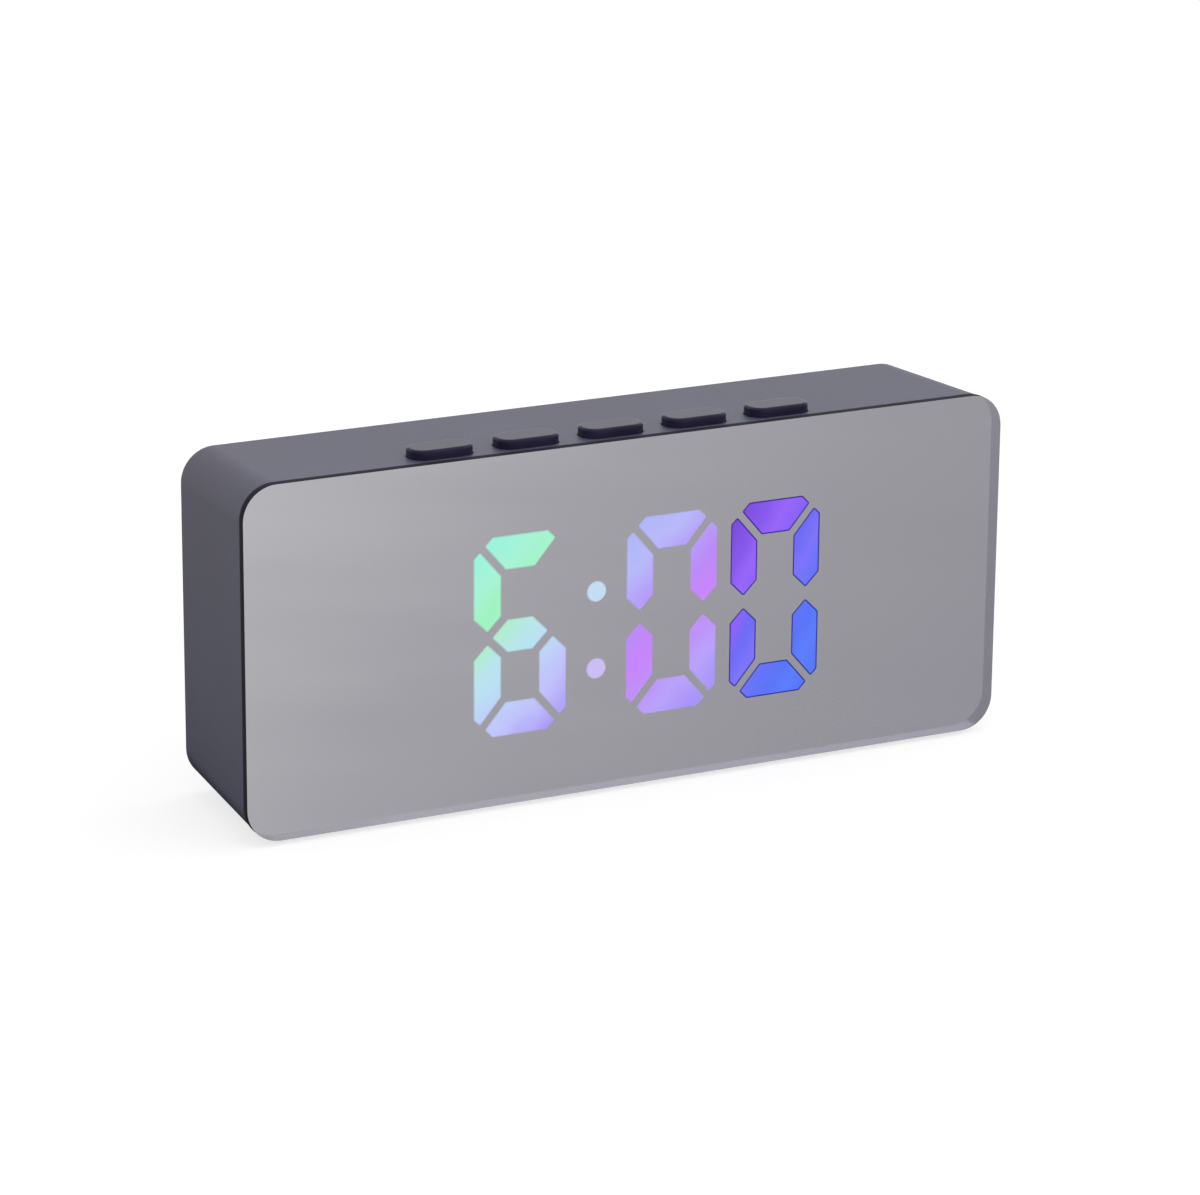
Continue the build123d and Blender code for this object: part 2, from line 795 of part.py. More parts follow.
# Flat cable from the key board to the main board
with BuildPart() as key_ribbon:
    ribbon_y = board_back_y + ribbon_run
    slope_drop = -key_board_under / math.cos(math.radians(draft_angle))
    ribbon_top = centre_z + half_height(ribbon_y) - slope_drop - stem_gap
    ribbon_low = ribbon_top - ribbon_drop
    with BuildSketch(Plane((key_row_x + key_pitch, 0, 0), x_dir=(0, 1, 0), z_dir=(1, 0, 0))):
        with BuildLine():
            corner = (ribbon_y, ribbon_low)
            FilletPolyline((ribbon_y, ribbon_top), corner, (board_back_y, ribbon_low), radius=ribbon_bend)
        trace(line_width=ribbon_thickness)
    extrude(amount=ribbon_width / 2, both=True)
key_ribbon.part.label = "key_ribbon"
export_step(key_ribbon.part, "parts/key_ribbon.step")

# Battery tray: an open box behind the door, with an ear at each end
with BuildPart() as battery_tray:
    with BuildSketch(facing_front(back_inner_y)):
        with Locations((battery_x, 0)):
            Rectangle(tray_width, tray_height)
    extrude(amount=back_inner_y - tray_front_y)
    with BuildSketch(facing_front(back_inner_y)):
        with Locations((battery_x, 0)):
            Rectangle(bay_width, bay_height)
    extrude(amount=back_inner_y - tray_floor_y, mode=Mode.SUBTRACT)
    with BuildSketch(facing_front(tray_ear_y)):
        with Locations((battery_x, 0)):
            Rectangle(tray_width + 2 * tray_ear_length, tray_ear_height)
            Rectangle(tray_width, tray_ear_height, mode=Mode.SUBTRACT)
            with Locations((-tray_boss_x, 0), (tray_boss_x, 0)):
                Circle(board_screw_hole / 2, mode=Mode.SUBTRACT)
    extrude(amount=tray_ear_thickness)
    # Notches that the door's tabs swing through
    with BuildSketch(facing_front(back_inner_y)):
        with Locations((battery_x, -(bay_height + tray_wall) / 2)):
            with GridLocations(tab_spread, 0, 2, 1):
                Rectangle(tab_width + 2 * notch_gap, tray_wall)
    extrude(amount=notch_depth, mode=Mode.SUBTRACT)
    # Slots for the tails of the two end contacts
    for side, up in ((-1, cell_places[0]), (1, cell_places[-1])):
        with BuildSketch(facing_front(tray_floor_y)):
            with Locations((battery_x + side * (bay_width - contact_thickness) / 2, up)):
                Rectangle(contact_thickness + 2 * contact_fit, contact_tail + 2 * contact_fit)
        extrude(amount=tray_floor, mode=Mode.SUBTRACT)
battery_tray.part.label = "battery_tray"
export_step(battery_tray.part, "parts/battery_tray.step")

# Contact plates: one bridge and one end contact with a tail at each end of the bay
with BuildPart() as battery_contacts:
    for side, alone, bridged in ((-1, 0, (1, 2)), (1, 2, (0, 1))):
        plate_x = battery_x + side * (bay_width - contact_thickness) / 2
        bridge_middle = (cell_places[bridged[0]] + cell_places[bridged[1]]) / 2
        with BuildSketch(facing_front(cell_y + contact_height / 2)):
            with Locations((plate_x, cell_places[alone])):
                Rectangle(contact_thickness, contact_height)
            with Locations((plate_x, bridge_middle)):
                Rectangle(contact_thickness, contact_height + cell_pitch)
        extrude(amount=contact_height)
        with BuildSketch(facing_front(cell_y)):
            with Locations((plate_x, cell_places[alone])):
                Rectangle(contact_thickness, contact_tail)
        extrude(amount=cell_y - tray_front_y + contact_reach)
battery_contacts.part.label = "battery_contacts"
export_step(battery_contacts.part, "parts/battery_contacts.step")

# Coil springs at the negative ends: the first and the last cell on the left, the middle one on the right
with BuildPart() as battery_springs:
    for up, side in zip(cell_places, (-1, 1, -1)):
        coil_height = spring_height - spring_wire
        coil_radius = (spring_diameter - spring_wire) / 2
        coil_x = battery_x + side * (bay_width / 2 - contact_thickness - spring_fit - spring_wire / 2)
        with BuildLine() as coil:
            Helix(
                pitch=coil_height / spring_turns,
                height=coil_height,
                radius=coil_radius,
                center=(coil_x, cell_y, centre_z + up),
                direction=(-side, 0, 0),
            )
        with BuildSketch(Plane(coil.line @ 0, z_dir=coil.line % 0)):
            Circle(spring_wire / 2)
        sweep(is_frenet=True)
battery_springs.part.label = "battery_springs"
export_step(battery_springs.part, "parts/battery_springs.step")

# Three cells, head to tail
with BuildPart() as battery_cells:
    for up, side in zip(cell_places, (-1, 1, -1)):
        nub_x = battery_x - side * (bay_width / 2 - contact_thickness - spring_fit)
        nub_end = Plane((nub_x, cell_y, centre_z + up), x_dir=(0, 0, 1), z_dir=(side, 0, 0))
        with BuildSketch(nub_end):
            Circle(nub_diameter / 2)
        extrude(amount=nub_height)
        with BuildSketch(nub_end.offset(nub_height)):
            Circle(cell_diameter / 2)
        extrude(amount=cell_length - nub_height)
    rims = battery_cells.edges().filter_by(GeomType.CIRCLE)
    fillet(rims.filter_by(lambda rim: rim.radius > nub_diameter), cell_round)
battery_cells.part.label = "battery_cells"
export_step(battery_cells.part, "parts/battery_cells.step")

# Battery door: flush plate, two tabs behind the wall below, a springy tongue at the top edge
with BuildPart() as battery_door:
    with BuildSketch(facing_back(door_inner_y)):
        with Locations((-battery_x, 0)):
            RectangleRounded(door_width, door_height, door_corner)
            with Locations((0, door_height / 2)):
                with GridLocations(tongue_width + tongue_slot, 0, 2, 1):
                    Rectangle(tongue_slot, 2 * tongue_length, mode=Mode.SUBTRACT)
    extrude(amount=door_thickness)
    tab_back_y = back_inner_y - tab_gap
    with BuildSketch(facing_front(door_inner_y)):
        with Locations((battery_x, -door_height / 2 + tab_rise / 2 + door_lap / 2)):
            with GridLocations(tab_spread, 0, 2, 1):
                Rectangle(tab_width, tab_rise - door_lap)
    extrude(amount=door_inner_y - tab_back_y + tab_thickness)
    with BuildSketch(facing_front(tab_back_y)):
        with Locations((battery_x, -door_height / 2 + (tab_rise - tab_drop) / 2)):
            with GridLocations(tab_spread, 0, 2, 1):
                Rectangle(tab_width, tab_rise + tab_drop)
    extrude(amount=tab_thickness)
    with BuildSketch(facing_back(back_y)):
        with Locations((-battery_x, door_height / 2 - tongue_length / 2)):
            with GridLocations(0, grip_pitch, 1, grip_count):
                Rectangle(grip_length, grip_width)
    extrude(amount=-grip_height, mode=Mode.SUBTRACT)
battery_door.part.label = "battery_door"
export_step(battery_door.part, "parts/battery_door.step")

# Small upright board that carries the power inlet
with BuildPart() as usb_board:
    with BuildSketch(facing_front(usb_board_y)):
        with Locations((usb_x, usb_z)):
            Rectangle(usb_board_length, usb_board_height)
            with GridLocations(usb_boss_spread, 0, 2, 1):
                Circle(board_screw_hole / 2, mode=Mode.SUBTRACT)
    extrude(amount=usb_board_thickness)
usb_board.part.label = "usb_board"
export_step(usb_board.part, "parts/usb_board.step")

# Inlet: a folded shell with the contact tongue inside
with BuildPart() as usb_socket:
    with BuildSketch(facing_back(usb_board_y)):
        with Locations((-usb_x, usb_z)):
            RectangleRounded(usb_shell_width, usb_shell_height, usb_round)
    extrude(amount=usb_shell_depth)
    with BuildSketch(facing_back(usb_board_y + usb_shell_floor)):
        with Locations((-usb_x, usb_z)):
            RectangleRounded(
                usb_shell_width - 2 * usb_shell_wall,
                usb_shell_height - 2 * usb_shell_wall,
                usb_round - usb_shell_wall,
            )
            Rectangle(usb_tongue_width, usb_tongue_height, mode=Mode.SUBTRACT)
    extrude(amount=usb_shell_depth - usb_shell_floor, mode=Mode.SUBTRACT)
usb_socket.part.label = "usb_socket"
export_step(usb_socket.part, "parts/usb_socket.step")

# Leads from the tray's tails and from the inlet to the main board
with BuildPart() as battery_leads:
    tail_end_y = tray_front_y - contact_reach
    turn_y = (tail_end_y + board_back_y) / 2
    for side, up in ((-1, cell_places[0]), (1, cell_places[-1])):
        tail_x = battery_x + side * (bay_width - contact_thickness) / 2
        tail_end = (tail_x, tail_end_y, centre_z + up)
        pad = (tail_x - side * battery_lead_run, board_back_y, centre_z + up)
        add_lead(tail_end, pad, turn_y)
battery_leads.part.label = "battery_leads"
export_step(battery_leads.part, "parts/battery_leads.step")

with BuildPart() as usb_leads:
    inlet_pad_y = usb_board_y - usb_board_thickness
    turn_y = (inlet_pad_y + board_back_y) / 2
    for side in (-1, 1):
        pad_x = usb_x + side * usb_lead_spread / 2
        inlet_pad = (pad_x, inlet_pad_y, centre_z + usb_z)
        board_pad = (pad_x - usb_lead_run, board_back_y, centre_z + usb_z)
        add_lead(inlet_pad, board_pad, turn_y - side * lead_diameter)
usb_leads.part.label = "usb_leads"
export_step(usb_leads.part, "parts/usb_leads.step")

# Four long screws through the back into the frame's posts
with BuildPart() as case_screws:
    with Locations(facing_back(joint_y + boss_floor)):
        with GridLocations(2 * post_x, 2 * post_z, 2, 2):
            add_screw(case_shank_diameter, case_shank_length, case_head_diameter, case_head_height)
case_screws.part.label = "case_screws"
export_step(case_screws.part, "parts/case_screws.step")

# Eight short screws: four in the main board, two in the tray's ears, two in the inlet's board
with BuildPart() as board_screws:
    screw = (board_shank_diameter, board_shank_length, board_head_diameter, board_head_height)
    with Locations(facing_back(board_back_y)):
        with Locations((-display_x, display_z)):
            with GridLocations(2 * board_hole_x, 2 * board_hole_z, 2, 2):
                add_screw(*screw)
    with Locations(facing_front(tray_ear_y - tray_ear_thickness)):
        with Locations((battery_x - tray_boss_x, 0), (battery_x + tray_boss_x, 0)):
            add_screw(*screw)
    with Locations(facing_front(usb_board_y - usb_board_thickness)):
        with Locations((usb_x, usb_z)):
            with GridLocations(usb_boss_spread, 0, 2, 1):
                add_screw(*screw)
board_screws.part.label = "board_screws"
export_step(board_screws.part, "parts/board_screws.step")

# Rubber feet: taller at the rear, where the bottom wall rises
for name, y in (("front_feet", front_foot_y), ("rear_feet", rear_foot_y)):
    with BuildPart() as feet:
        with BuildSketch(Plane.XY):
            with Locations((-foot_x, y), (foot_x, y)):
                Circle(foot_diameter / 2)
        extrude(amount=centre_z - half_height(y) + foot_sunk)
        fillet(feet.edges().group_by(Axis.Z)[0], foot_round)
    feet.part.label = name
    export_step(feet.part, f"parts/{name}.step")
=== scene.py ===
import json
import math

import bmesh
import bpy
from mathutils import Matrix, Vector


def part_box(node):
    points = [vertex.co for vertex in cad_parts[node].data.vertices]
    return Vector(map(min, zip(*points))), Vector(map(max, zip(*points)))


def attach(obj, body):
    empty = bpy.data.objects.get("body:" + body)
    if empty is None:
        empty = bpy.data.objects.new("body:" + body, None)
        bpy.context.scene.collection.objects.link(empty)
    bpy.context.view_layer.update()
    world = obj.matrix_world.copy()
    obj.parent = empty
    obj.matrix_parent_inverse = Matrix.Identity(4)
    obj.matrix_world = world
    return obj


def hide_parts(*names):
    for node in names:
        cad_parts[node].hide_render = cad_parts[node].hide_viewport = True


# Looks of the desk clock: the half-mirror front with its lit digits, the satin case and the glossy keys.
# Lengths are metres, written in millimetres times mm, in the frame of the solids.

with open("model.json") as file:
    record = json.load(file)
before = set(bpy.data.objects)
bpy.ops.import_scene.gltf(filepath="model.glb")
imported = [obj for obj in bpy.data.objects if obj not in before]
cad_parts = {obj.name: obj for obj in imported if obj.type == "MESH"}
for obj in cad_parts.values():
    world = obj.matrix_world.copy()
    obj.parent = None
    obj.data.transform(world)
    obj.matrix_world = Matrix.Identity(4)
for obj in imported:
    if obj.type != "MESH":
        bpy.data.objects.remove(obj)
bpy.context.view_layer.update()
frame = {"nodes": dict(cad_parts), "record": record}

mm = 0.001

# Camera
view_target = Vector((1.09 * mm, 0, 31.28 * mm))
view_distance = 859.65 * mm
view_turn = 26.639  # degrees to the left of straight on
view_height = 17.485  # degrees above level
view_roll = 0.453  # degrees
lens_length = 142.08  # millimetres, for a frame 36 wide
sensor_width = 36
near_limit = 10 * mm

# Studio
floor_size = 6000 * mm
floor_drop = 0.05 * mm  # keeps the floor clear of the feet's undersides
floor_tone = 0.4
floor_bounce = 0.25  # tone of the floor in the light that it throws back at the clock
floor_lift = 0.75  # glow that only the camera sees, which leaves a soft shadow on white
shade_left = -220 * mm  # painted shadow: the case's left side mirrors a floor darkened from here
shade_right = -50 * mm  # to here
shade_front = -17 * mm  # the panel mirrors only the floor in front of this, which stays white
shade_fade = 1 * mm
painted_shadow_tones = [(0.0, "#FFFFFF"), (0.8, "#B0B0B0"), (0.86, "#1A1A1A"), (0.93, "#1A1A1A"), (1.0, "#FFFFFF")]
room_light = 0.55
lamp_place = Vector((500 * mm, -250 * mm, 900 * mm))
lamp_size = 2000 * mm
lamp_power = 6.5

# Mirror panel
weld = 0.002 * mm
film_gap = 0.02 * mm  # between the film and the digit faces behind it, and inside the sheet's edge
line_width = 0.25 * mm  # painted shade: dark glowing line inside the windows of the last digit, where its light falls off
feather_width = 0.22 * mm  # soft print edge inside the other windows
flat_angle = math.radians(1)
smooth_angle = math.radians(30)
facing_share = 0.9  # of a unit normal, for a face that looks straight out
slanted_share = 0.3  # of a unit normal, for a face that looks partly out

# Tone of the mirror film, from the upper left of the panel to the lower right, with soft long streaks: a
# painted reflection
film_across_share = 0.7
film_painted_reflection_tones = [
    (0.0, "#B9B8BD"),
    (0.15, "#B0AFB4"),
    (0.35, "#A4A3A9"),
    (0.6, "#9B9AA0"),
    (1.0, "#92919A"),
]
reflection_streak_size = (55 * mm, 55 * mm, 9 * mm)
reflection_streak_tilt = math.radians(9)
reflection_streak_push = 0.1

# Light of the digits, from the upper left of each to its lower right, with soft patches
light_patch = (7 * mm, 7 * mm, 7 * mm)
light_push = 0.06
mint_tones = [
    (0.08, "#9AF4DC"),
    (0.21, "#A6F4D6"),
    (0.33, "#9CF4BC"),
    (0.42, "#AEEED0"),
    (0.5, "#B8E6EA"),
    (0.58, "#BAE0F4"),
    (0.7, "#BECCFA"),
    (0.79, "#C0C0FC"),
    (1.0, "#9C7CF4"),
]
lavender_tones = [
    (0.0, "#AAB4FA"),
    (0.21, "#B7B8FA"),
    (0.32, "#B49EFA"),
    (0.43, "#BA88F8"),
    (0.55, "#C682FB"),
    (0.66, "#BE8EFA"),
    (0.78, "#B8A0FB"),
    (1.0, "#9A86F8"),
]
blue_tones = [
    (0.0, "#6E38D8"),
    (0.2, "#8452EC"),
    (0.28, "#9660FA"),
    (0.36, "#8A5CF8"),
    (0.45, "#6866F6"),
    (0.55, "#7A70FA"),
    (0.64, "#6070F8"),
    (0.73, "#5270F8"),
    (0.82, "#567AFC"),
    (1.0, "#4468F2"),
]
pale_tones = [(0.3, "#C4DDF4"), (0.7, "#CCBCF6")]
# Painted shade: tones of the dark glowing line where the last digit's light falls off
painted_falloff_tones = [(0.0, "#3E1490"), (0.4, "#2E1E96"), (1.0, "#16248E")]

# Each digit's dark segment, as shares of its width and height from the middle of the digit
dark_shares = {
    "hour_units_segments": (0.35, 0.23),
    "minute_tens_segments": (0.0, 0.0),
    "minute_units_segments": (0.0, 0.0),
}
lined_digit = "minute_units_segments"

# Battery cells, along each from its flat end: bare steel, dark sleeve, copper band, bare cap
sleeve_tones = [(0.0, "#C4C2BE"), (0.04, "#1D2430"), (0.74, "#B0713A"), (0.95, "#C4C2BE")]
sleeve_metal = [(0.0, "#FFFFFF"), (0.04, "#000000"), (0.74, "#404040"), (0.95, "#FFFFFF")]
sleeve_grain = 0.4 * mm
sleeve_roughness = (0.22, 0.34)
cell_half_pitch = 5.45 * mm
cell_seam = 0.01 * mm


def linear(hex_colour):
    """An sRGB colour such as #A0B0C0 as linear red, green, blue and alpha."""
    channels = [int(hex_colour[start : start + 2], 16) / 255 for start in (1, 3, 5)]
    linear_channels = [c / 12.92 if c <= 0.04045 else ((c + 0.055) / 1.055) ** 2.4 for c in channels]
    return linear_channels + [1.0]


def new_material(name):
    """A material with an empty node tree."""
    material = bpy.data.materials.new(name)
    material.use_nodes = True
    material.node_tree.nodes.clear()
    return material


def add_node(tree, kind, values=None, links=None, tones=None, **settings):
    """Adds a shader node with its settings; values and links go to its sockets, tones to its colour ramp."""
    node = tree.nodes.new("ShaderNode" + kind)
    for name, choice in settings.items():
        setattr(node, name, choice)
    for socket, value in (values or {}).items():
        node.inputs[socket].default_value = value
    for socket, source in (links or {}).items():
        tree.links.new(source, node.inputs[socket])
    for number, (place, colour) in enumerate(tones or []):
        elements = node.color_ramp.elements
        element = elements[number] if number < len(elements) else elements.new(1)
        element.position = place
        element.color = linear(colour)
    return node


def add_run(tree, place, node_name, across_share, patch, tilt, push):
    """A value from 0 at a node's upper left to 1 at its lower right, pushed about by soft patches."""
    low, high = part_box(node_name)
    slope = (across_share / (high.x - low.x), 0, (across_share - 1) / (high.z - low.z))
    corner = {"Location": (-low.x, 0, -high.z)}
    from_corner = add_node(tree, "Mapping", corner, {"Vector": place})
    run = add_node(
        tree,
        "VectorMath",
        {1: slope},
        {0: from_corner.outputs["Vector"]},
        operation="DOT_PRODUCT",
    )
    patches = add_node(
        tree,
        "Mapping",
        {"Rotation": (0, tilt, 0), "Scale": patch},
        {"Vector": place},
        vector_type="TEXTURE",
    )
    cloud = add_node(tree, "TexNoise", {"Scale": 1}, {"Vector": patches.outputs["Vector"]})
    drift = add_node(
        tree,
        "MapRange",
        {"To Min": -push, "To Max": push},
        {"Value": cloud.outputs["Fac"]},
    )
    pushed = {0: run.outputs["Value"], 1: drift.outputs["Result"]}
    return add_node(tree, "Math", links=pushed, operation="ADD").outputs["Value"]


def close_material(material, values, links):
    """Ends a material in a Principled shader with these values and links."""
    shader = add_node(material.node_tree, "BsdfPrincipled", values, links)
    add_node(material.node_tree, "OutputMaterial", links={"Surface": shader.outputs["BSDF"]})
    return material


def grained(name, tones, patch, grain, relief, roughness, values=None):
    """A finish whose tone drifts over patches and whose skin has a fine grain."""
    material = new_material(name)
    tree = material.node_tree
    place = add_node(tree, "TexCoord").outputs["Object"]
    drift = add_node(tree, "TexNoise", {"Scale": 1 / patch, "Detail": 3}, {"Vector": place})
    tone = add_node(tree, "ValToRGB", links={"Fac": drift.outputs["Fac"]}, tones=tones)
    skin = add_node(tree, "TexNoise", {"Scale": 1 / grain}, {"Vector": place}).outputs["Fac"]
    low, high = roughness
    gloss = add_node(tree, "MapRange", {"To Min": low, "To Max": high}, {"Value": skin})
    bump = add_node(tree, "Bump", {"Distance": relief}, {"Height": skin})
    links = {
        "Base Color": tone.outputs["Color"],
        "Roughness": gloss.outputs["Result"],
        "Normal": bump.outputs["Normal"],
    }
    return close_material(material, values or {}, links)


def lit(name, node_name, across_share, tones):
    """Milky resin lit from behind, whose colour runs over the digit."""
    material = new_material(name)
    tree = material.node_tree
    place = add_node(tree, "TexCoord").outputs["Object"]
    run = add_run(tree, place, node_name, across_share, light_patch, 0, light_push)
    glow = add_node(tree, "ValToRGB", links={"Fac": run}, tones=tones)
    values = {
        "Base Color": linear("#101014"),
        "Roughness": 0.5,
        "Specular IOR Level": 0.1,
        "Emission Strength": 1.0,
    }
    return close_material(material, values, {"Emission Color": glow.outputs["Color"]})


def mirror(name):
    """Mirror film: a grey metal coat with a painted reflection, paler at the upper left and softly streaked.
    """
    material = new_material(name)
    tree = material.node_tree
    place = add_node(tree, "TexCoord").outputs["Object"]
    run = add_run(
        tree,
        place,
        "front_panel",
        film_across_share,
        reflection_streak_size,
        reflection_streak_tilt,
        reflection_streak_push,
    )
    tone = add_node(tree, "ValToRGB", links={"Fac": run}, tones=film_painted_reflection_tones)
    values = {"Metallic": 1.0, "Roughness": 0.12}
    return close_material(material, values, {"Base Color": tone.outputs["Color"]})


def sleeved(name):
    """Battery sleeves with bare steel ends; the middle cell lies the other way round."""
    low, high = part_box("battery_cells")
    middle = (low + high) / 2
    reach = (high.x - low.x) / 2
    material = new_material(name)
    tree = material.node_tree
    place = add_node(tree, "TexCoord").outputs["Object"]
    centre = {"Location": (-middle.x, 0, -middle.z)}
    from_middle = add_node(tree, "Mapping", centre, {"Vector": place})
    axes = add_node(tree, "SeparateXYZ", links={"Vector": from_middle.outputs["Vector"]})
    height = add_node(tree, "Math", links={0: axes.outputs["Z"]}, operation="ABSOLUTE")
    turned = add_node(
        tree,
        "MapRange",
        {"From Min": cell_half_pitch - cell_seam, "From Max": cell_half_pitch, "To Min": -1.0},
        {"Value": height.outputs["Value"]},
    )
    along = add_node(
        tree,
        "Math",
        links={0: axes.outputs["X"], 1: turned.outputs["Result"]},
        operation="MULTIPLY",
    )
    share = add_node(
        tree,
        "MapRange",
        {"From Min": -reach, "From Max": reach},
        {"Value": along.outputs["Value"]},
    ).outputs["Result"]
    print_tone = add_node(tree, "ValToRGB", links={"Fac": share}, tones=sleeve_tones)
    bare_steel = add_node(tree, "ValToRGB", links={"Fac": share}, tones=sleeve_metal)
    for bands in (print_tone, bare_steel):
        bands.color_ramp.interpolation = "CONSTANT"
    skin = add_node(tree, "TexNoise", {"Scale": 1 / sleeve_grain}, {"Vector": place})
    low, high = sleeve_roughness
    gloss = add_node(tree, "MapRange", {"To Min": low, "To Max": high}, {"Value": skin.outputs["Fac"]})
    links = {
        "Base Color": print_tone.outputs["Color"],
        "Metallic": bare_steel.outputs["Color"],
        "Roughness": gloss.outputs["Result"],
    }
    return close_material(material, {}, links)


# Case and door: ABS moulded in a spark-eroded tool, a dark grey-violet with a satin, finely pebbled skin
case_plastic = grained(
    "case_plastic",
    [(0.35, "#45435A"), (0.65, "#474961")],
    patch=30 * mm,
    grain=0.35 * mm,  # coarser than the real 0.1 mm grain, so that it shows
    relief=0.01 * mm,
    roughness=(0.42, 0.52),
)

# Keys: black ABS from a polished tool, so that edges draw sharp highlights
key_plastic = grained(
    "key_plastic",
    [(0.35, "#2B2840"), (0.65, "#322F49")],
    patch=5 * mm,
    grain=1.2 * mm,
    relief=0.002 * mm,
    roughness=(0.14, 0.22),
    values={"Specular IOR Level": 0.09},
)

# Inner frame and battery tray: plain black ABS, matt
frame_plastic = grained(
    "frame_plastic",
    [(0.35, "#1B1B1E"), (0.65, "#232327")],
    patch=12 * mm,
    grain=0.4 * mm,
    relief=0.012 * mm,
    roughness=(0.5, 0.62),
)

# Plungers of the tact switches: ivory acetal, slightly waxy
plunger_plastic = grained(
    "plunger_plastic",
    [(0.35, "#D6D0C0"), (0.65, "#DED9CB")],
    patch=2 * mm,
    grain=0.3 * mm,
    relief=0.004 * mm,
    roughness=(0.35, 0.45),
)

# Mask and adhesive ring: black printed film, dead matt
black_film = grained(
    "black_film",
    [(0.35, "#0C0C0D"), (0.65, "#131314")],
    patch=6 * mm,
    grain=0.25 * mm,
    relief=0.003 * mm,
    roughness=(0.7, 0.8),
)

# Light box: white glass-filled plastic that keeps light in its wells
white_reflector = grained(
    "white_reflector",
    [(0.35, "#E2E1DC"), (0.65, "#EBEAE6")],
    patch=8 * mm,
    grain=0.3 * mm,
    relief=0.006 * mm,
    roughness=(0.45, 0.6),
)

# Segments of the dark digit: milky resin with no light behind it
segment_unlit = grained(
    "segment_unlit",
    [(0.35, "#55555A"), (0.65, "#5E5E63")],
    patch=5 * mm,
    grain=0.3 * mm,
    relief=0.003 * mm,
    roughness=(0.3, 0.4),
)

# LEDs: pale yellow resin over the chip
led_resin = grained(
    "led_resin",
    [(0.35, "#E6E0B4"), (0.65, "#F0ECC8")],
    patch=0.8 * mm,
    grain=0.2 * mm,
    relief=0.003 * mm,
    roughness=(0.2, 0.3),
)

# Chip package and buzzer: black moulded epoxy, matt
chip_black = grained(
    "chip_black",
    [(0.35, "#161617"), (0.65, "#1D1D1F")],
    patch=3 * mm,
    grain=0.15 * mm,
    relief=0.006 * mm,
    roughness=(0.5, 0.65),
)

# Screws, springs, contacts, crystal and inlet: steel with bright nickel plating
steel = grained(
    "steel",
    [(0.35, "#B9B6B0"), (0.65, "#C9C7C2")],
    patch=2 * mm,
    grain=0.12 * mm,
    relief=0.002 * mm,
    roughness=(0.22, 0.36),
    values={"Metallic": 1.0},
)

# Capacitor can: drawn aluminium, satin
aluminium_can = grained(
    "aluminium_can",
    [(0.35, "#BEC0C3"), (0.65, "#CCCED1")],
    patch=2 * mm,
    grain=0.2 * mm,
    relief=0.002 * mm,
    roughness=(0.3, 0.4),
    values={"Metallic": 1.0},
)

# Flat cable: grey vinyl
ribbon_grey = grained(
    "ribbon_grey",
    [(0.35, "#9A9A9E"), (0.65, "#A6A6AA")],
    patch=3 * mm,
    grain=0.3 * mm,
    relief=0.004 * mm,
    roughness=(0.4, 0.5),
)

# Printed boards: green solder mask over glass epoxy
board_green = grained(
    "board_green",
    [(0.4, "#0E4A2A"), (0.6, "#156038")],
    patch=4 * mm,
    grain=0.3 * mm,
    relief=0.01 * mm,
    roughness=(0.3, 0.45),
)

# Battery cells: printed foil sleeves over steel cans
cell_wrap = sleeved("cell_wrap")

# Leads: vinyl insulation, red to the cells and black to the inlet
lead_red = grained(
    "lead_red",
    [(0.35, "#8E1512"), (0.65, "#A01B17")],
    patch=3 * mm,
    grain=0.25 * mm,
    relief=0.003 * mm,
    roughness=(0.4, 0.5),
)
lead_black = grained(
    "lead_black",
    [(0.35, "#141414"), (0.65, "#1B1B1B")],
    patch=3 * mm,
    grain=0.25 * mm,
    relief=0.003 * mm,
    roughness=(0.4, 0.5),
)

# Feet: black rubber, matt
foot_rubber = grained(
    "foot_rubber",
    [(0.35, "#161616"), (0.65, "#1F1F1F")],
    patch=3 * mm,
    grain=0.2 * mm,
    relief=0.02 * mm,
    roughness=(0.75, 0.9),
)

# Lit digits: milky resin over LEDs, from mint at the upper left to blue at the lower right
segment_mint = lit("segment_mint", "hour_units_segments", 0.3, mint_tones)
segment_lavender = lit("segment_lavender", "minute_tens_segments", 0.3, lavender_tones)
segment_blue = lit("segment_blue", "minute_units_segments", 0.45, blue_tones)
segment_pale = lit("segment_pale", "colon_dots", 0.0, pale_tones)

# Painted shade: a dark glowing line on the film around the windows of the last digit, drawn where its light
# falls off
painted_falloff_line = lit("painted_falloff_line", "minute_units_segments", 0.45, painted_falloff_tones)

# Film on the back of the panel: a thin vacuum-laid metal coat, its colour graded as a painted reflection
mirror_film = mirror("mirror_film")

# Panel sheet: cast acrylic, so clear that only a trace of it shows in front of the film
clear_acrylic = grained(
    "clear_acrylic",
    [(0.35, "#A6A5AA"), (0.65, "#AEADB2")],
    patch=30 * mm,
    grain=8 * mm,
    relief=0.002 * mm,
    roughness=(0.03, 0.06),
    values={"Metallic": 1.0, "Alpha": 0.015},
)

# Sides of the sheet: sawn, then sprayed black against stray light
painted_side = grained(
    "painted_side",
    [(0.35, "#1C1B24"), (0.65, "#24232D")],
    patch=6 * mm,
    grain=0.3 * mm,
    relief=0.01 * mm,
    roughness=(0.6, 0.75),
    values={"Specular IOR Level": 0.1},
)

# Inner side of the sheet's edge, where light turns back into the acrylic
mirrored_side = grained(
    "mirrored_side",
    [(0.35, "#E0DFE3"), (0.65, "#E6E5E9")],
    patch=20 * mm,
    grain=4 * mm,
    relief=0.002 * mm,
    roughness=(0.04, 0.08),
    values={"Metallic": 1.0},
)

